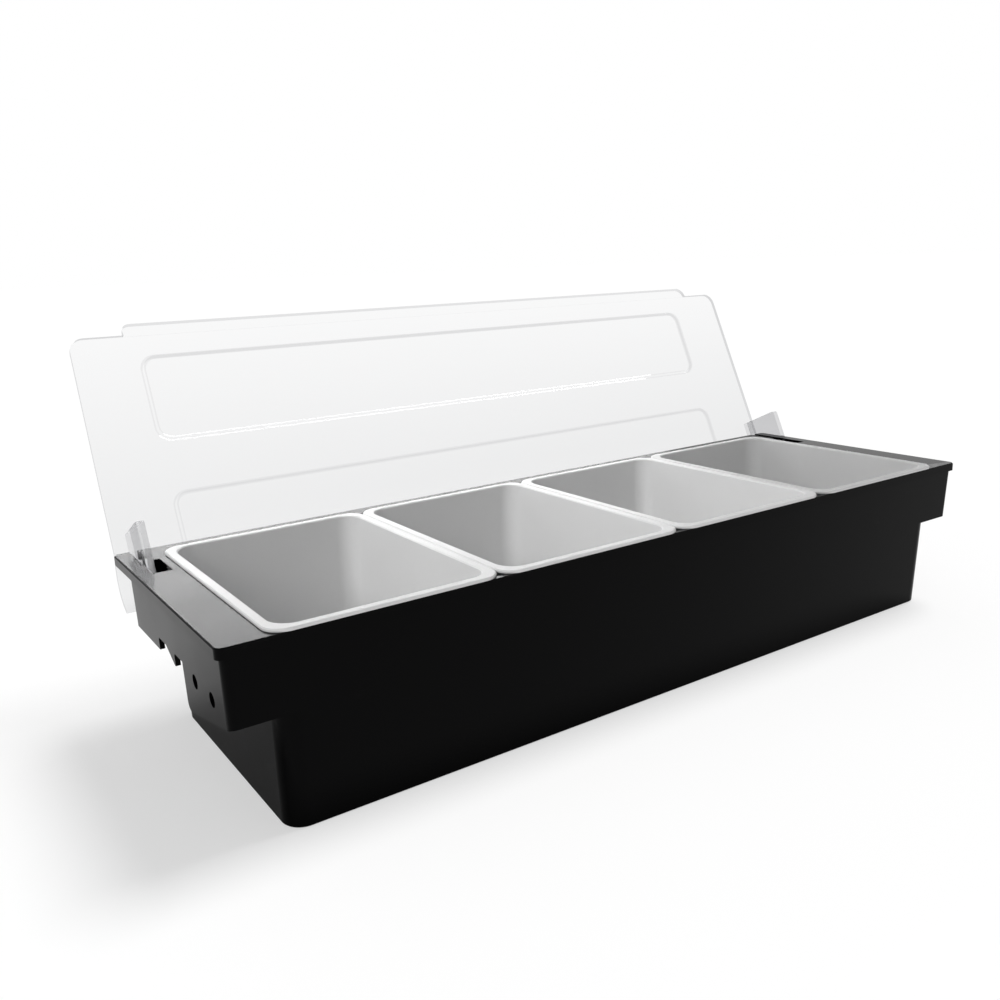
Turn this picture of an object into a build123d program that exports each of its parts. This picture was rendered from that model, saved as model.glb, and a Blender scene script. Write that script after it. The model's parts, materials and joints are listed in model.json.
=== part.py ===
"""Bar garnish tray: a moulded base, four lift-out inserts and a clear hinged lid.

Lengths are in millimetres. The tray stands on z = 0, its length runs along X,
its front faces -Y and +Z is up. The origin is the middle of the underside.
The lid is drawn closed and then swung back to where it rests when open.
"""

from build123d import *
from math import asin, cos, hypot, radians, sin, sqrt, tan
import os

# Overall sizes of the base, over its rim
length = 500.0
depth = 164.0
deck_height = 91.7

# Base: the rim, the deck plate and its turned-down lip
rim_corner = 3.5
rim_edge = 0.7
deck_plate = 2.5
lip_height = 5.0
lip_wall = 2.2
front_overhang = 1.0
rear_overhang = 9.7
side_overhang = 2.0

# Base: the tub under the deck
end_deck = 22.8
tub_wall = 2.0
tub_floor = 2.5
tub_corner = 10.0
tub_foot = 0.7
side_draft = 2.6
end_draft = 1.0

# Base: the end wings, thin plates that hang from the deck past the tub
wing_wall = 2.4
wing_corner = 4.0
wing_rear_inset = 22.0
wing_curl = 5.5
wing_draft = 1.3
wing_drop = 49.7
wing_front_drop = 36.0
wing_rear_drop = 32.4
wing_round = 4.0
wing_front_depth = 61.0
notch_rise = 6.5
notch_round = 2.0
front_notch = 12.5
tooth_flat = 1.2
tooth_slope = 11.5
rear_notch = 12.5
screw_hole_r = 3.4
screw_drop = 29.5
screw_first = 44.0
screw_pitch = 22.5

# Inserts
insert_count = 4
insert_gap = 0.4
insert_end_lap = 3.0
insert_front_lap = 2.7
insert_rear_lap = 1.7
insert_flange = 1.4
insert_edge = 0.6
insert_corner = 10.0
insert_ledge = 3.6
insert_wall = 1.4
insert_floor = 1.8
insert_height = 70.0
insert_draft = 3.4
insert_foot = 6.0

# Lid: the sheet, its rolled rear edge and its grip
lid_sheet = 2.5
lid_rest_gap = 1.0
lid_rear_inset = 1.2
lid_front_inset = 3.1
lid_setback = 11.7
lid_corner = 8.0
roll_gap = 0.5
roll_end = 44.0
grip_inset = 32.5
grip_reach = 8.0
grip_tilt = 18.0
grip_corner = 5.0

# Lid: the two raised panels, one near the hinge axis and one near the free edge
panel_inset = 41.8
panel_raise = 2.0
panel_corner = 9.0
panel_slope = 35.0
panel_shift = -4.0
upper_panel_margin = 11.7
upper_panel_depth = 51.5
lower_panel_margin = 4.0
lower_panel_depth = 41.6

# Hinge: ears on the lid, pins on the ears and lugs under the deck
hinge_inset = 15.0
hinge_drop = 10.5
open_angle = 115.0
ear_face = 9.0
ear_sheet = 4.0
ear_front = 25.8
ear_rear = 9.0
ear_low = 19.1
ear_corner = 2.0
pin_r = 3.5
pin_gap = 0.05
lug_r = 6.0
lug_sheet = 3.0
lug_gap = 0.6
lug_rib = 2.0
lug_rib_drop = 14.0
slot_side_gap = 0.8
slot_front_gap = 0.8
slot_mouth = 4.0
slot_mouth_inset = 9.0

# One overrun for cuts that run clear of a surface
overrun = 2.0

# Places that follow from the sizes above
rear_edge = depth / 2
front_edge = -depth / 2
tub_length = length - 2 * end_deck
tub_front = front_edge + front_overhang
tub_rear = rear_edge - rear_overhang
wing_rear = rear_edge - wing_rear_inset
wing_step = front_edge + wing_front_depth
wing_low = deck_height - wing_drop
wing_front_low = deck_height - wing_front_drop
wing_rear_low = deck_height - wing_rear_drop
notch_top = wing_rear_low + notch_rise
insert_span = tub_length - 2 * tub_wall + 2 * insert_end_lap
insert_pitch = (insert_span + insert_gap) / insert_count
insert_front = tub_front + tub_wall - insert_front_lap
insert_rear = tub_rear - tub_wall + insert_rear_lap
hinge_y = rear_edge - hinge_inset
hinge_z = deck_height - hinge_drop
lid_under = deck_height + insert_flange + lid_rest_gap
lid_top = lid_under + lid_sheet
lid_front = front_edge + lid_setback
lid_reach = hinge_y - lid_front
roll_inner = hypot(hinge_inset, hinge_drop) + roll_gap
roll_outer = roll_inner + lid_sheet
ear_outer = length / 2 - ear_face
ear_inner = ear_outer - ear_sheet
lug_outer = ear_inner - lug_gap
lug_inner = lug_outer - lug_sheet
ear_swing = hypot(ear_front, ear_low)


def drafted_block(width, front, rear, low, high, end_angle, front_angle, rear_angle):
    """Block that narrows downwards; width, front and rear hold at the height high."""
    drop = high - low
    half = width / 2
    foot_half = half - drop * tan(radians(end_angle))
    foot_front = front + drop * tan(radians(front_angle))
    foot_rear = rear - drop * tan(radians(rear_angle))
    end_view = make_face(
        Polyline((-foot_half, low), (foot_half, low), (half, high), (-half, high), close=True)
    )
    side_view = make_face(
        Polyline((foot_front, low), (foot_rear, low), (rear, high), (front, high), close=True)
    )
    block = Pos(0, rear, 0) * extrude(Plane.XZ * end_view, rear - front)
    return block & (Pos(-half, 0, 0) * extrude(Plane.YZ * side_view, width))


def upright_edges(block):
    """The four edges between the walls of a drafted block."""
    return block.edges().group_by(Axis.Z)[1]


def foot_edges(block):
    """The edges round the underside of a block."""
    return block.edges().group_by(Axis.Z)[0]


def slab(size_x, size_y, centre_y, corner, low, high):
    """Upright block with rounded corners between two heights."""
    outline = Pos(0, centre_y, low) * RectangleRounded(size_x, size_y, corner)
    return extrude(outline, high - low)


def span(x0, x1, y0, y1, z0, z1):
    """Plain block between two corners."""
    centre = Pos((x0 + x1) / 2, (y0 + y1) / 2, (z0 + z1) / 2)
    return centre * Box(abs(x1 - x0), abs(y1 - y0), abs(z1 - z0))


def side_sheet(outline, x0, x1):
    """A sketch drawn with Y across and Z up, given thickness from x0 to x1."""
    return Pos(x0, 0, 0) * extrude(Plane.YZ * outline, x1 - x0)


def mirrored(piece):
    """A piece and its mirror image at the other end of the tray."""
    return piece + mirror(piece, Plane.YZ)


def rim():
    """Deck plate with its turned-down lip all round."""
    low = deck_height - lip_height
    plate = slab(length, depth, 0, rim_corner, low, deck_height)
    top_edges = plate.edges().group_by(Axis.Z)[-1]
    plate = chamfer(top_edges, rim_edge)
    inner_x = length - 2 * lip_wall
    inner_y = depth - 2 * lip_wall
    inner_corner = rim_corner - lip_wall
    under = deck_height - deck_plate
    return plate - slab(inner_x, inner_y, 0, inner_corner, low, under)


def tub_outside():
    """The tub's outer form, with its foot eased."""
    under = deck_height - deck_plate
    block = drafted_block(
        tub_length, tub_front, tub_rear, 0, under, end_draft, side_draft, side_draft
    )
    block = fillet(upright_edges(block), tub_corner)
    return chamfer(foot_edges(block), tub_foot)


def tub_inside():
    """The hollow that the inserts hang in, open through the deck."""
    width = tub_length - 2 * tub_wall
    front = tub_front + tub_wall
    rear = tub_rear - tub_wall
    corner = tub_corner - tub_wall
    hollow = drafted_block(
        width, front, rear, tub_floor, deck_height, end_draft, side_draft, side_draft
    )
    hollow = fillet(upright_edges(hollow), corner)
    hollow = chamfer(foot_edges(hollow), tub_foot)
    centre_y = (front + rear) / 2
    mouth = slab(width, rear - front, centre_y, corner, deck_height, deck_height + overrun)
    return hollow + mouth


def corners_at(outline, places):
    """The corners of a side view that lie at the given places."""
    found = []
    for corner in outline.vertices():
        if any(hypot(corner.X - y, corner.Y - z) < notch_round / 2 for y, z in places):
            found.append(corner)
    return found


def wing_outline():
    """Side view of an end wing: two notches cut up from below behind a deep front part."""
    top = deck_height
    tooth_tip = wing_step + front_notch
    slope_foot = tooth_tip + tooth_flat
    slope_head = slope_foot + tooth_slope
    notch_rear = slope_head + rear_notch
    outline = make_face(
        Polyline(
            (front_edge - overrun, top),
            (front_edge - overrun, wing_front_low),
            (front_edge, wing_front_low),
            (wing_step, wing_low),
            (wing_step, notch_top),
            (tooth_tip, notch_top),
            (tooth_tip, wing_rear_low),
            (slope_foot, wing_rear_low),
            (slope_head, notch_top),
            (notch_rear, notch_top),
            (notch_rear, wing_rear_low),
            (wing_rear, wing_rear_low),
            (wing_rear, top),
            close=True,
        )
    )
    heads = [(tooth_tip, notch_top), (notch_rear, notch_top)]
    outline = fillet(corners_at(outline, heads), notch_round)
    feet = [(wing_step, wing_low), (wing_rear, wing_rear_low)]
    return fillet(corners_at(outline, feet), wing_round)


def wings():
    """Both end wings: a thin drafted shell that is cut to the side view."""
    under = deck_height - deck_plate
    width = length - 2 * side_overhang
    outer = drafted_block(width, tub_front, wing_rear, wing_low, under, wing_draft, side_draft, 0)
    outer = fillet(upright_edges(outer), wing_corner)
    inner = drafted_block(
        width - 2 * wing_wall, tub_front + wing_wall, wing_rear - wing_wall,
        wing_low, under, wing_draft, side_draft, 0,
    )
    inner = fillet(upright_edges(inner), wing_corner - wing_wall)
    shell = outer - inner
    inside = tub_length / 2 - tub_corner
    outside = length / 2
    mask = side_sheet(wing_outline(), inside, outside)
    curl = outside - side_overhang - wing_curl
    mask -= span(inside, curl, 0, rear_edge, 0, deck_height)
    wing = shell & mask
    for index in range(2):
        y = front_edge + screw_first - index * screw_pitch
        hole = Cylinder(screw_hole_r, 2 * (side_overhang + wing_wall + overrun))
        wing -= Pos(outside, y, deck_height - screw_drop) * Rot(0, 90, 0) * hole
    return mirrored(wing)


def hinge_lugs():
    """The lugs under the deck that hold the pins, each with two ribs to the tub."""
    under = deck_height - deck_plate
    drop = under - hinge_z
    head = Pos(hinge_y, hinge_z + drop / 2) * Rectangle(2 * lug_r, drop)
    cheek = head + Pos(hinge_y, hinge_z) * Circle(lug_r)
    cheek -= Pos(hinge_y, hinge_z) * Circle(pin_r + pin_gap)
    lug = side_sheet(cheek, lug_inner, lug_outer)
    low = under - lug_rib_drop
    end_wall = tub_length / 2 - tub_wall
    rear_wall = tub_length / 2 - tub_corner
    front_rib = hinge_y - lug_r
    rear_rib = hinge_y + lug_r - lug_rib
    lug += span(end_wall, lug_inner, front_rib, front_rib + lug_rib, low, under)
    lug += span(rear_wall, lug_inner, rear_rib, rear_rib + lug_rib, low, under)
    return mirrored(lug)


def ear_slots():
    """The slots that the lid's ears swing in, open at the rear."""
    low = deck_height - lip_height - overrun
    high = deck_height + overrun
    outer = ear_outer + slot_side_gap
    front = hinge_y - ear_swing - slot_front_gap
    narrow = span(lug_outer, outer, front, rear_edge + overrun, low, high)
    mouth_end = hinge_y - slot_mouth_inset
    mouth = span(lug_outer - slot_mouth, outer, front, mouth_end, low, high)
    return mirrored(narrow + mouth)


def base_tray():
    """The one-piece base."""
    body = rim() + tub_outside() + wings()
    body -= tub_inside()
    body += hinge_lugs()
    return body - ear_slots()


def insert_body(width, front, rear, low):
    """The insert's outer form below the deck: drafted walls over a bevelled foot."""
    corner = insert_corner + insert_wall
    half = width / 2 - insert_ledge
    walls = drafted_block(
        2 * half, front + insert_ledge, rear - insert_ledge,
        low, deck_height, insert_draft, insert_draft, insert_draft,
    )
    walls = fillet(upright_edges(walls), corner)
    spread = (deck_height - low - insert_foot) * (1 - tan(radians(insert_draft)))
    foot = drafted_block(
        2 * (half + spread), front + insert_ledge - spread, rear - insert_ledge + spread,
        low, deck_height, 45, 45, 45,
    )
    return walls & fillet(upright_edges(foot), corner * sqrt(2))


def insert_cup(index):
    """One insert, counted from the left: a drafted cup that hangs by its flange."""
    width = insert_pitch - insert_gap
    front = insert_front
    rear = insert_rear
    centre_y = (front + rear) / 2
    flange_top = deck_height + insert_flange
    low = flange_top - insert_height
    flange = slab(width, rear - front, centre_y, insert_corner, deck_height, flange_top)
    flange = chamfer(flange.edges().group_by(Axis.Z)[-1], insert_edge)
    body = insert_body(width, front, rear, low)
    inset = insert_ledge + insert_wall
    cavity = drafted_block(
        width - 2 * inset, front + inset, rear - inset,
        low + insert_floor, flange_top, insert_draft, insert_draft, insert_draft,
    )
    cavity = fillet(upright_edges(cavity) + foot_edges(cavity), insert_corner)
    cup = flange + body - cavity
    half = width / 2 - insert_ledge
    mouth = [e for e in cup.edges().group_by(Axis.Z)[-1] if is_inside(e.center(), half, front, rear)]
    cup = chamfer(mouth, insert_edge)
    middle = (insert_count - 1) / 2
    return Pos((index - middle) * insert_pitch, 0, 0) * cup


def is_inside(point, half, front, rear):
    """True if a point lies within the insert's ledge."""
    return abs(point.X) < half and front + insert_ledge < point.Y < rear - insert_ledge


def lid_section():
    """Side view of the closed lid: a flat sheet and a rear edge rolled about the hinge."""
    hinge = Pos(hinge_y, hinge_z)
    ring = hinge * (Circle(roll_outer) - Circle(roll_inner))
    reach = 2 * roll_outer
    front_foot = hinge_y - roll_inner * cos(asin((lid_under - hinge_z) / roll_inner))
    rear_foot = hinge_y + reach * cos(radians(roll_end))
    rear_head = hinge_z + reach * sin(radians(roll_end))
    wedge = make_face(
        Polyline(
            (hinge_y, hinge_z),
            (rear_foot, rear_head),
            (hinge_y - reach, rear_head),
            (hinge_y - reach, lid_under),
            (front_foot, lid_under),
            close=True,
        )
    )
    front = Pos((lid_front + hinge_y) / 2, (lid_under + lid_top) / 2) * Rectangle(
        hinge_y - lid_front, lid_sheet
    )
    flat = front - hinge * Circle(roll_inner)
    return flat + (ring & wedge)


def lid_plan():
    """Plan of the lid, a little narrower at its free edge, with rounded corners there."""
    back = rear_edge + roll_outer
    outline = make_face(
        Polyline(
            (lid_front_inset - length / 2, lid_front),
            (length / 2 - lid_front_inset, lid_front),
            (length / 2 - lid_rear_inset, back),
            (lid_rear_inset - length / 2, back),
            close=True,
        )
    )
    return fillet(outline.vertices().group_by(Axis.Y)[0], lid_corner)


def panel_outline(near, far):
    """Plan of a raised panel, between two distances in front of the hinge axis."""
    centre_y = hinge_y - (near + far) / 2
    outline = RectangleRounded(length - 2 * panel_inset, far - near, panel_corner)
    return Pos(panel_shift, centre_y, 0) * outline


def grip():
    """The turned-up tongue along the free edge."""
    tongue = RectangleRounded(length - 2 * grip_inset, 2 * grip_reach, grip_corner)
    plate = extrude(tongue, lid_sheet)
    return Pos(0, lid_front, lid_under) * Rot(-grip_tilt, 0, 0) * plate


def ear():
    """The right ear with its pin, which points inwards."""
    low = hinge_z - ear_low
    front = hinge_y - ear_front
    rear = hinge_y + ear_rear
    high = hinge_z + roll_outer
    outline = Pos((front + rear) / 2, (low + high) / 2) * Rectangle(rear - front, high - low)
    outline = fillet(outline.vertices().group_by(Axis.Y)[0], ear_corner)
    middle = lid_sheet / 2
    under_roll = Pos(hinge_y, hinge_z) * Circle(roll_inner + middle)
    under_sheet = Pos(hinge_y, lid_under + middle - high / 2) * Rectangle(length, high)
    sheet = side_sheet(outline & (under_roll + under_sheet), ear_inner, ear_outer)
    pin = Cylinder(pin_r, ear_inner - lug_inner + overrun, align=(Align.CENTER, Align.CENTER, Align.MIN))
    return sheet + Pos(lug_inner, hinge_y, hinge_z) * Rot(0, 90, 0) * pin


def closed_lid():
    """The lid as it lies on the inserts."""
    sheet = side_sheet(lid_section(), -length / 2, length / 2)
    sheet &= extrude(lid_plan(), 2 * deck_height)
    slope = panel_raise * tan(radians(panel_slope))
    upper_far = lid_reach - upper_panel_margin
    for near, far in (
        (lower_panel_margin, lower_panel_margin + lower_panel_depth),
        (upper_far - upper_panel_depth, upper_far),
    ):
        outline = panel_outline(near, far)
        sheet += Pos(0, 0, lid_top) * extrude(outline, panel_raise, taper=panel_slope)
        inner = offset(outline, -slope)
        sheet -= Pos(0, 0, lid_under) * extrude(inner, panel_raise, taper=panel_slope)
    hollow = Pos(hinge_y, hinge_z) * Circle(roll_inner)
    sheet -= side_sheet(hollow, -length / 2, length / 2)
    lid = sheet + (grip() - span(-length, length, lid_front, 0, 0, 2 * deck_height))
    return lid + mirrored(ear())


def open_lid():
    """The lid swung back to its stop, where it rests when the tray is in use."""
    to_hinge = Pos(0, hinge_y, hinge_z)
    from_hinge = Pos(0, -hinge_y, -hinge_z)
    return to_hinge * Rot(-open_angle, 0, 0) * from_hinge * closed_lid()


def main():
    """Write each piece of the tray to its own file."""
    os.makedirs("parts", exist_ok=True)
    export_step(base_tray(), "parts/base_tray.step")
    for index in range(insert_count):
        export_step(insert_cup(index), f"parts/insert_{index + 1}.step")
    export_step(open_lid(), "parts/clear_lid.step")


main()
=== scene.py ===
"""Bar garnish tray, dressed for its picture.

A black moulded base stands on a pale floor. Four white inserts hang in it, and a
clear lid with two pressed panels leans open behind them. All lengths are in metres.
"""

from __future__ import annotations

import json
import logging
import math
from collections.abc import Iterable
from dataclasses import dataclass, field
from enum import Enum

import bpy
from mathutils import Euler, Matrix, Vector

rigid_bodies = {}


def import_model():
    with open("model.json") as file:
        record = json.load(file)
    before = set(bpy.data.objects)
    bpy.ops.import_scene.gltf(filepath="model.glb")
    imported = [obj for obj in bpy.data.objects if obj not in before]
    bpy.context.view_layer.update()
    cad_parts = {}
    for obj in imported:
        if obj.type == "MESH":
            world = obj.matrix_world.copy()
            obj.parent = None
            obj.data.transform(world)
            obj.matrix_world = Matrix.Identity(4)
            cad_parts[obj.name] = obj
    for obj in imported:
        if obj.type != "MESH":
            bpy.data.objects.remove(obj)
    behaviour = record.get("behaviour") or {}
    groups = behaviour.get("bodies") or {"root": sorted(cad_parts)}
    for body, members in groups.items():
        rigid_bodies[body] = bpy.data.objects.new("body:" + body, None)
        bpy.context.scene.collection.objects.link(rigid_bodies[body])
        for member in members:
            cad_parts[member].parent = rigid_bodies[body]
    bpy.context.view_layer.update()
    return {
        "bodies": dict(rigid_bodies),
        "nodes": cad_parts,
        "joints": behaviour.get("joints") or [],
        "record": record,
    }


LOG = logging.getLogger("garnish_tray")
WHITE = (1.0, 1.0, 1.0, 1.0)
# Sockets of the colour mix node: the colours at 0 and at 1, and the blend.
MIX_LOW, MIX_HIGH, MIX_RESULT = 6, 7, 2
# The part of a pattern's range that most of the surface lies in.
PATTERN_LOW, PATTERN_HIGH = 0.3, 0.7

Colour = tuple[float, float, float]
Point = tuple[float, float, float]


class Ray(Enum):
    """The kinds of ray that a material can tell apart."""

    CAMERA = "Is Camera Ray"
    CLEAR = "Is Transmission Ray"
    GLOSSY = "Is Glossy Ray"
    SHADOW = "Is Shadow Ray"


def seen_share(
    tree: bpy.types.NodeTree, share: float, mirrored: float
) -> bpy.types.NodeSocket:
    """Give a share to rays that show a surface, and none to those that light with it.

    Args:
        tree: the node tree to work in.
        share: the value for rays from the camera or through a clear surface.
        mirrored: the value for rays from a shiny surface.

    Returns:
        The share, or 0 for every other ray.
    """
    rays = tree.nodes.new("ShaderNodeLightPath")
    source = None
    for ray, value in ((Ray.CAMERA, share), (Ray.CLEAR, share), (Ray.GLOSSY, mirrored)):
        scaled = tree.nodes.new("ShaderNodeMath")
        scaled.operation = "MULTIPLY"
        scaled.inputs[1].default_value = value
        tree.links.new(rays.outputs[ray.value], scaled.inputs[0])
        if source is None:
            source = scaled.outputs[0]
            continue
        larger = tree.nodes.new("ShaderNodeMath")
        larger.operation = "MAXIMUM"
        tree.links.new(source, larger.inputs[0])
        tree.links.new(scaled.outputs[0], larger.inputs[1])
        source = larger.outputs[0]
    return source


class Shader:
    """A small helper that adds and joins the nodes of one material."""

    def __init__(self, name: str) -> None:
        """Start an empty material.

        Args:
            name: the material's name.
        """
        self.material = bpy.data.materials.new(name)
        self.material.use_nodes = True
        self.tree = self.material.node_tree
        self.tree.nodes.clear()
        self.output = self.add("ShaderNodeOutputMaterial")

    def add(self, kind: str, **values: object) -> bpy.types.Node:
        """Add one node and set its plain attributes.

        Args:
            kind: Blender's name for the node.
            values: attributes of the node, by name.

        Returns:
            The new node.
        """
        node = self.tree.nodes.new(kind)
        for key, value in values.items():
            setattr(node, key, value)
        return node

    def join(self, source: bpy.types.NodeSocket, target: bpy.types.NodeSocket) -> None:
        """Join two sockets."""
        self.tree.links.new(source, target)

    def surface(self, source: bpy.types.NodeSocket) -> None:
        """Send a shader to the material's surface."""
        self.join(source, self.output.inputs["Surface"])

    def clouds(self, scale: float, detail: float = 3.0) -> bpy.types.NodeSocket:
        """Make a cloud pattern fixed to the object's own coordinates.

        Args:
            scale: how many features there are in a metre.
            detail: how many finer layers lie over them.

        Returns:
            The pattern's value between 0 and 1.
        """
        place = self.add("ShaderNodeTexCoord")
        node = self.add("ShaderNodeTexNoise")
        node.inputs["Scale"].default_value = scale
        node.inputs["Detail"].default_value = detail
        self.join(place.outputs["Object"], node.inputs["Vector"])
        return node.outputs["Fac"]

    def spread(
        self, source: bpy.types.NodeSocket, low: float, high: float
    ) -> bpy.types.NodeSocket:
        """Map the middle of a pattern onto a narrow range.

        Args:
            source: a value between 0 and 1.
            low: what the dark side becomes.
            high: what the light side becomes.

        Returns:
            The mapped value.
        """
        node = self.add("ShaderNodeMapRange")
        node.inputs["From Min"].default_value = PATTERN_LOW
        node.inputs["From Max"].default_value = PATTERN_HIGH
        node.inputs["To Min"].default_value = low
        node.inputs["To Max"].default_value = high
        self.join(source, node.inputs["Value"])
        return node.outputs["Result"]

    def tint(
        self, source: bpy.types.NodeSocket, dark: Colour, light: Colour
    ) -> bpy.types.NodeSocket:
        """Blend two colours by a pattern.

        Args:
            source: a value between 0 and 1.
            dark: the colour at 0.
            light: the colour at 1.

        Returns:
            The blended colour.
        """
        node = self.add("ShaderNodeMix", data_type="RGBA")
        node.inputs[MIX_LOW].default_value = (*dark, 1.0)
        node.inputs[MIX_HIGH].default_value = (*light, 1.0)
        self.join(source, node.inputs[0])
        return node.outputs[MIX_RESULT]

    def relief(
        self, source: bpy.types.NodeSocket, height: float, strength: float
    ) -> bpy.types.NodeSocket:
        """Turn a pattern into a shallow relief.

        Args:
            source: the pattern.
            height: how deep the relief is, in metres.
            strength: how much of it shows.

        Returns:
            The changed normal.
        """
        node = self.add("ShaderNodeBump")
        node.inputs["Distance"].default_value = height
        node.inputs["Strength"].default_value = strength
        self.join(source, node.inputs["Height"])
        return node.outputs["Normal"]


@dataclass(frozen=True)
class BlackGloss:
    """Black moulded plastic with a polished skin and the faint waves of its mould."""

    dark: Colour = (0.0006, 0.0006, 0.0007)
    light: Colour = (0.0012, 0.0012, 0.0013)
    shine_low: float = 0.12
    shine_high: float = 0.19
    specular: float = 0.042
    index: float = 1.5
    wave_scale: float = 38.0
    wave_height: float = 0.00035
    wave_strength: float = 0.12
    grain_scale: float = 2600.0
    grain_detail: float = 1.0

    def build(self) -> bpy.types.Material:
        """Make the material.

        Returns:
            The new material.
        """
        shader = Shader("black_gloss_plastic")
        skin = shader.add("ShaderNodeBsdfPrincipled")
        wave = shader.clouds(self.wave_scale)
        grain = shader.clouds(self.grain_scale, self.grain_detail)
        shine = shader.spread(wave, self.shine_low, self.shine_high)
        bumps = shader.relief(wave, self.wave_height, self.wave_strength)
        shader.join(shader.tint(grain, self.dark, self.light), skin.inputs["Base Color"])
        shader.join(shine, skin.inputs["Roughness"])
        shader.join(bumps, skin.inputs["Normal"])
        skin.inputs["Specular IOR Level"].default_value = self.specular
        skin.inputs["IOR"].default_value = self.index
        shader.surface(skin.outputs["BSDF"])
        return shader.material


@dataclass(frozen=True)
class WhiteSatin:
    """White food-safe plastic with a soft satin skin."""

    dark: Colour = (0.65, 0.65, 0.65)
    light: Colour = (0.70, 0.70, 0.70)
    shine_low: float = 0.38
    shine_high: float = 0.50
    specular: float = 0.5
    cloud_scale: float = 22.0
    grain_scale: float = 1500.0
    grain_detail: float = 2.0
    grain_height: float = 0.00006
    grain_strength: float = 0.25

    def build(self) -> bpy.types.Material:
        """Make the material.

        Returns:
            The new material.
        """
        shader = Shader("white_satin_plastic")
        skin = shader.add("ShaderNodeBsdfPrincipled")
        clouds = shader.clouds(self.cloud_scale)
        grain = shader.clouds(self.grain_scale, self.grain_detail)
        shine = shader.spread(grain, self.shine_low, self.shine_high)
        bumps = shader.relief(grain, self.grain_height, self.grain_strength)
        shader.join(shader.tint(clouds, self.dark, self.light), skin.inputs["Base Color"])
        shader.join(shine, skin.inputs["Roughness"])
        shader.join(bumps, skin.inputs["Normal"])
        skin.inputs["Specular IOR Level"].default_value = self.specular
        shader.surface(skin.outputs["BSDF"])
        return shader.material


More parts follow.
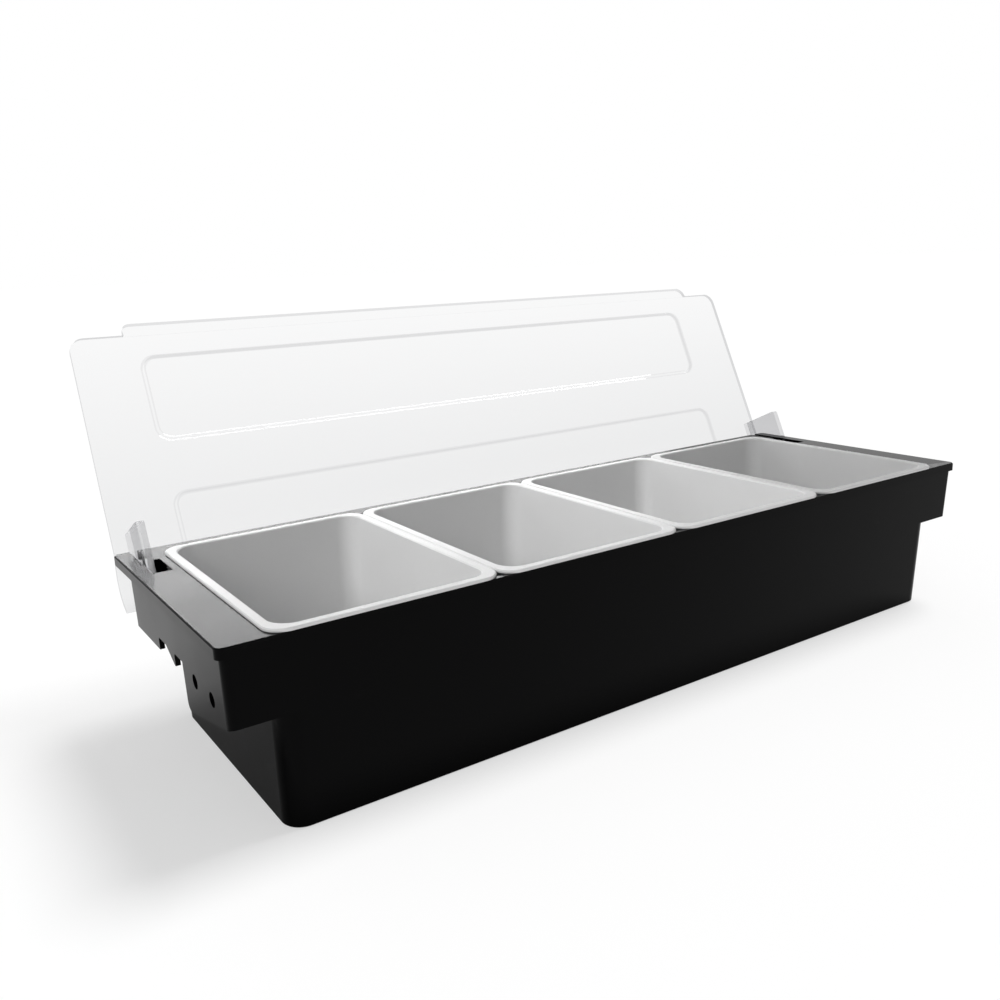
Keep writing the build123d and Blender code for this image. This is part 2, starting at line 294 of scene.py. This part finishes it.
@dataclass(frozen=True)
class ClearSheet:
    """Clear moulded sheet with a faint grey cast. Painted shade makes it greyer on moulded
    slopes and cut edges, where refraction would darken them, and makes its flat faces greyer
    towards the hinge.

    The heights are those of the open lid, and face is the way its flat sheet looks.
    """

    # Painted shade: the flat sheet goes from high, by the grip, down to the greyer low by the
    # hinge.
    high: Colour = (0.945, 0.946, 0.948)
    low: Colour = (0.835, 0.837, 0.840)
    # Painted shade: slopes, ears and cut edges take these darker greys in place of refraction.
    edge_shade_high: Colour = (0.46, 0.46, 0.47)
    edge_shade_low: Colour = (0.58, 0.58, 0.59)
    # The painted shade fades in between these heights of the open lid.
    fade_from: float = 0.10
    fade_to: float = 0.21
    face: Point = (0.0, 0.9063, -0.4226)
    turned: float = 0.0
    flat: float = 0.96
    index: float = 1.02
    coat: float = 0.22
    coat_index: float = 1.35
    coat_rough: float = 0.03
    shine_low: float = 0.02
    shine_high: float = 0.06
    haze_scale: float = 9.0
    haze_detail: float = 6.0
    wave_scale: float = 26.0
    wave_detail: float = 1.0
    wave_height: float = 0.0002
    wave_strength: float = 0.10
    shadow_pass: float = 0.78

    def height(self, shader: Shader) -> bpy.types.NodeSocket:
        """Tell how far a point of the open sheet stands above the hinge, for painted shade
        that darkens it towards the hinge.

        Args:
            shader: the material that is being made.

        Returns:
            0 by the hinge and its ears, up to 1 towards the grip.
        """
        place = shader.add("ShaderNodeTexCoord")
        parts = shader.add("ShaderNodeSeparateXYZ")
        shader.join(place.outputs["Object"], parts.inputs[0])
        fade = shader.add("ShaderNodeMapRange")
        fade.inputs["From Min"].default_value = self.fade_from
        fade.inputs["From Max"].default_value = self.fade_to
        shader.join(parts.outputs["Z"], fade.inputs["Value"])
        return fade.outputs["Result"]

    def flatness(self, shader: Shader) -> bpy.types.NodeSocket:
        """Tell the sheet's flat faces from its slopes, ears and cut edges, which take the
        painted shade.

        Args:
            shader: the material that is being made.

        Returns:
            1 on the flat faces, down to 0 where the surface turns away from them.
        """
        place = shader.add("ShaderNodeTexCoord")
        along = shader.add("ShaderNodeVectorMath", operation="DOT_PRODUCT")
        along.inputs[1].default_value = self.face
        shader.join(place.outputs["Normal"], along.inputs[0])
        size = shader.add("ShaderNodeMath", operation="ABSOLUTE")
        shader.join(along.outputs["Value"], size.inputs[0])
        flat = shader.add("ShaderNodeMapRange")
        flat.inputs["From Min"].default_value = self.turned
        flat.inputs["From Max"].default_value = self.flat
        shader.join(size.outputs[0], flat.inputs["Value"])
        return flat.outputs["Result"]

    def build(self) -> bpy.types.Material:
        """Make the material.

        Returns:
            The new material, which lets most of the lamps' light through.
        """
        shader = Shader("clear_plastic_sheet")
        sheet = shader.add("ShaderNodeBsdfPrincipled")
        colour = shader.add("ShaderNodeMix", data_type="RGBA")
        height = self.height(shader)
        # Painted shade: slopes and cut edges get the darker edge greys.
        shader.join(self.flatness(shader), colour.inputs[0])
        edges = shader.tint(height, self.edge_shade_low, self.edge_shade_high)
        shader.join(edges, colour.inputs[MIX_LOW])
        # Painted shade: the flat faces darken towards the hinge.
        shader.join(shader.tint(height, self.low, self.high), colour.inputs[MIX_HIGH])
        shader.join(colour.outputs[MIX_RESULT], sheet.inputs["Base Color"])
        sheet.inputs["Transmission Weight"].default_value = 1.0
        sheet.inputs["IOR"].default_value = self.index
        sheet.inputs["Coat Weight"].default_value = self.coat
        sheet.inputs["Coat IOR"].default_value = self.coat_index
        sheet.inputs["Coat Roughness"].default_value = self.coat_rough
        haze = shader.clouds(self.haze_scale, self.haze_detail)
        wave = shader.clouds(self.wave_scale, self.wave_detail)
        shine = shader.spread(haze, self.shine_low, self.shine_high)
        bumps = shader.relief(wave, self.wave_height, self.wave_strength)
        shader.join(shine, sheet.inputs["Roughness"])
        shader.join(bumps, sheet.inputs["Coat Normal"])
        open_way = shader.add("ShaderNodeBsdfTransparent")
        open_way.inputs["Color"].default_value = (*[self.shadow_pass] * 3, 1.0)
        rays = shader.add("ShaderNodeLightPath")
        mix = shader.add("ShaderNodeMixShader")
        shader.join(rays.outputs[Ray.SHADOW.value], mix.inputs[0])
        shader.join(sheet.outputs["BSDF"], mix.inputs[1])
        shader.join(open_way.outputs["BSDF"], mix.inputs[2])
        shader.surface(mix.outputs["Shader"])
        return shader.material


@dataclass(frozen=True)
class PaleFloor:
    """Plain matt white floor, which shows partly as plain white under its shadows."""

    colour: Colour = (0.98, 0.98, 0.98)
    shade: Colour = (0.965, 0.965, 0.965)
    cloud_scale: float = 3.0
    roughness: float = 0.95
    white_share: float = 0.55
    mirrored_share: float = 0.05

    def build(self) -> bpy.types.Material:
        """Make the material.

        Returns:
            The new material.
        """
        shader = Shader("pale_floor")
        skin = shader.add("ShaderNodeBsdfPrincipled")
        clouds = shader.clouds(self.cloud_scale)
        shader.join(shader.tint(clouds, self.shade, self.colour), skin.inputs["Base Color"])
        skin.inputs["Roughness"].default_value = self.roughness
        skin.inputs["Specular IOR Level"].default_value = 0.0
        white = shader.add("ShaderNodeEmission")
        white.inputs["Color"].default_value = WHITE
        white.inputs["Strength"].default_value = 1.0
        mix = shader.add("ShaderNodeMixShader")
        share = seen_share(shader.tree, self.white_share, self.mirrored_share)
        shader.join(share, mix.inputs[0])
        shader.join(skin.outputs["BSDF"], mix.inputs[1])
        shader.join(white.outputs["Emission"], mix.inputs[2])
        shader.surface(mix.outputs["Shader"])
        return shader.material


@dataclass
class Piece:
    """A CAD node that keeps its shape and takes a finish.

    Edges that turn by more than crease, in degrees, stay sharp.
    """

    node: str
    crease: float

    def dress(self, frame: dict[str, object], finish: bpy.types.Material) -> None:
        """Give the node its finish and smooth its rounded faces.

        Args:
            finish: the material.
        """
        piece = frame["nodes"][self.node]
        mesh = piece.data
        if not mesh.materials:
            mesh.materials.append(finish)
        for index in range(len(mesh.materials)):
            mesh.materials[index] = finish
        mesh.shade_smooth()
        mesh.set_sharp_from_angle(angle=math.radians(self.crease))
        LOG.info("dressed %s with %s", self.node, finish.name)


@dataclass
class BaseTray:
    """The black base with its deck, tub, end wings and hinge lugs."""

    body: Piece = field(default_factory=lambda: Piece("base_tray", 26.0))
    finish: BlackGloss = field(default_factory=BlackGloss)

    def build(self, frame: dict[str, object]) -> None:
        """Dress the base.
        """
        self.body.dress(frame, self.finish.build())


@dataclass
class InsertRow:
    """The four white inserts, side by side."""

    count: int = 4
    crease: float = 30.0
    finish: WhiteSatin = field(default_factory=WhiteSatin)

    def build(self, frame: dict[str, object]) -> None:
        """Dress every insert with one shared finish.
        """
        satin = self.finish.build()
        for number in range(1, self.count + 1):
            Piece(f"insert_{number}", self.crease).dress(frame, satin)


@dataclass
class ClearLid:
    """The clear lid with its pressed panels, rolled edge, grip and ears."""

    sheet: Piece = field(default_factory=lambda: Piece("clear_lid", 24.0))
    finish: ClearSheet = field(default_factory=ClearSheet)

    def build(self, frame: dict[str, object]) -> None:
        """Dress the lid.
        """
        self.sheet.dress(frame, self.finish.build())


@dataclass
class Camera:
    """The viewpoint that was fitted to the object's edges, with its turn in degrees."""

    place: Point = (-0.349967, -0.430286, 0.232064)
    turn: Point = (76.10075, 2.12157, -34.43691)
    sensor: float = 36.0
    focal_share: float = 0.960903
    nearest: float = 0.01
    farthest: float = 100.0

    def build(self) -> None:
        """Make the camera and look through it."""
        data = bpy.data.cameras.new("picture_camera")
        data.sensor_fit = "HORIZONTAL"
        data.sensor_width = self.sensor
        data.lens = self.sensor * self.focal_share
        data.clip_start = self.nearest
        data.clip_end = self.farthest
        camera = bpy.data.objects.new("picture_camera", data)
        camera.location = self.place
        camera.rotation_euler = Euler([math.radians(angle) for angle in self.turn])
        bpy.context.scene.collection.objects.link(camera)
        bpy.context.scene.camera = camera
        LOG.info("camera at %s", self.place)


def lit_pieces(
    name: str, frame: dict[str, object], nodes: tuple[str, ...]
) -> bpy.types.Collection:
    """Collect the pieces that a light reaches.

    Args:
        name: the light's name.
        nodes: the names of the pieces.

    Returns:
        The collection.
    """
    lit = bpy.data.collections.new(f"{name}_pieces")
    for node in nodes:
        lit.objects.link(frame["nodes"][node])
    return lit


@dataclass(frozen=True)
class Sun:
    """A broad distant light for some of the pieces, with turn and spread in degrees."""

    name: str
    turn: Point
    power: float
    spread: float
    nodes: tuple[str, ...]
    on_floor: bool = False

    def build(self, frame: dict[str, object], floor: bpy.types.Object) -> None:
        """Add the light, which reaches only the pieces that it names.

        Args:
            floor: the floor's object.
        """
        data = bpy.data.lights.new(self.name, "SUN")
        data.energy = self.power
        data.angle = math.radians(self.spread)
        lamp = bpy.data.objects.new(self.name, data)
        lamp.rotation_euler = Euler([math.radians(angle) for angle in self.turn])
        bpy.context.scene.collection.objects.link(lamp)
        lit = lit_pieces(self.name, frame, self.nodes)
        if self.on_floor:
            lit.objects.link(floor)
        lamp.light_linking.receiver_collection = lit
        LOG.info("light %s", self.name)


@dataclass(frozen=True)
class Softbox:
    """A rectangular lamp that faces a point and shows only as a reflection."""

    name: str
    place: Point
    target: Point
    width: float
    height: float
    power: float
    nodes: tuple[str, ...]

    def build(self, frame: dict[str, object]) -> None:
        """Hang the lamp.
        """
        data = bpy.data.lights.new(self.name, "AREA")
        data.shape = "RECTANGLE"
        data.size = self.width
        data.size_y = self.height
        data.energy = self.power
        lamp = bpy.data.objects.new(self.name, data)
        lamp.location = self.place
        aim = Vector(self.target) - Vector(self.place)
        lamp.rotation_euler = aim.to_track_quat("-Z", "Y").to_euler()
        lamp.visible_camera = False
        lamp.visible_diffuse = False
        bpy.context.scene.collection.objects.link(lamp)
        lamp.light_linking.receiver_collection = lit_pieces(self.name, frame, self.nodes)
        LOG.info("lamp %s", self.name)


@dataclass
class Studio:
    """Pale floor, even white surroundings and soft lamps.

    The last insert has a weaker light of its own, because its side wall is duller.
    """

    floor_size: float = 60.0
    fill: float = 0.37
    suns: tuple[Sun, ...] = (
        Sun("key_light", (30.0, 0.0, 95.0), 2.45, 24.0, ("base_tray",), on_floor=True),
        Sun("cup_light", (57.0, 0.0, -82.0), 1.65, 26.0, ("insert_1", "insert_2", "insert_3")),
        Sun("end_cup_light", (57.0, 0.0, -82.0), 0.7, 26.0, ("insert_4",)),
    )
    boxes: tuple[Softbox, ...] = (
        Softbox(
            name="rear_softbox",
            place=(0.4, 1.7, 0.95),
            target=(0.0, 0.0, 0.08),
            width=2.4,
            height=0.9,
            power=38.0,
            nodes=("base_tray", "clear_lid"),
        ),
    )

    def floor(self) -> bpy.types.Object:
        """Lay the floor under the object.

        Returns:
            The floor's object.
        """
        half = self.floor_size / 2
        mesh = bpy.data.meshes.new("floor")
        signs = ((-1, -1), (1, -1), (1, 1), (-1, 1))
        mesh.from_pydata([(x * half, y * half, 0.0) for x, y in signs], [], [(0, 1, 2, 3)])
        floor = bpy.data.objects.new("floor", mesh)
        mesh.materials.append(PaleFloor().build())
        bpy.context.scene.collection.objects.link(floor)
        return floor

    def surroundings(self) -> None:
        """Make the world white where it is seen and a plain soft light elsewhere."""
        world = bpy.data.worlds.new("surroundings")
        bpy.context.scene.world = world
        world.use_nodes = True
        tree = world.node_tree
        tree.nodes.clear()
        output = tree.nodes.new("ShaderNodeOutputWorld")
        seen = tree.nodes.new("ShaderNodeBackground")
        seen.inputs["Color"].default_value = WHITE
        seen.inputs["Strength"].default_value = 1.0
        light = tree.nodes.new("ShaderNodeBackground")
        light.inputs["Color"].default_value = WHITE
        light.inputs["Strength"].default_value = self.fill
        mix = tree.nodes.new("ShaderNodeMixShader")
        tree.links.new(seen_share(tree, 1.0, 1.0), mix.inputs[0])
        tree.links.new(light.outputs[0], mix.inputs[1])
        tree.links.new(seen.outputs[0], mix.inputs[2])
        tree.links.new(mix.outputs[0], output.inputs["Surface"])

    def build(self, frame: dict[str, object]) -> None:
        """Set up the whole studio.
        """
        floor = self.floor()
        self.surroundings()
        for sun in self.suns:
            sun.build(frame, floor)
        for box in self.boxes:
            box.build(frame)
        bpy.context.scene.view_settings.view_transform = "Standard"


def main() -> None:
    """Load the frame, dress every piece and set up the picture."""
    logging.basicConfig(level=logging.INFO, format="%(message)s")
    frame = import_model()
    Camera().build()
    BaseTray().build(frame)
    InsertRow().build(frame)
    ClearLid().build(frame)
    Studio().build(frame)


if __name__ == "__main__":
    main()
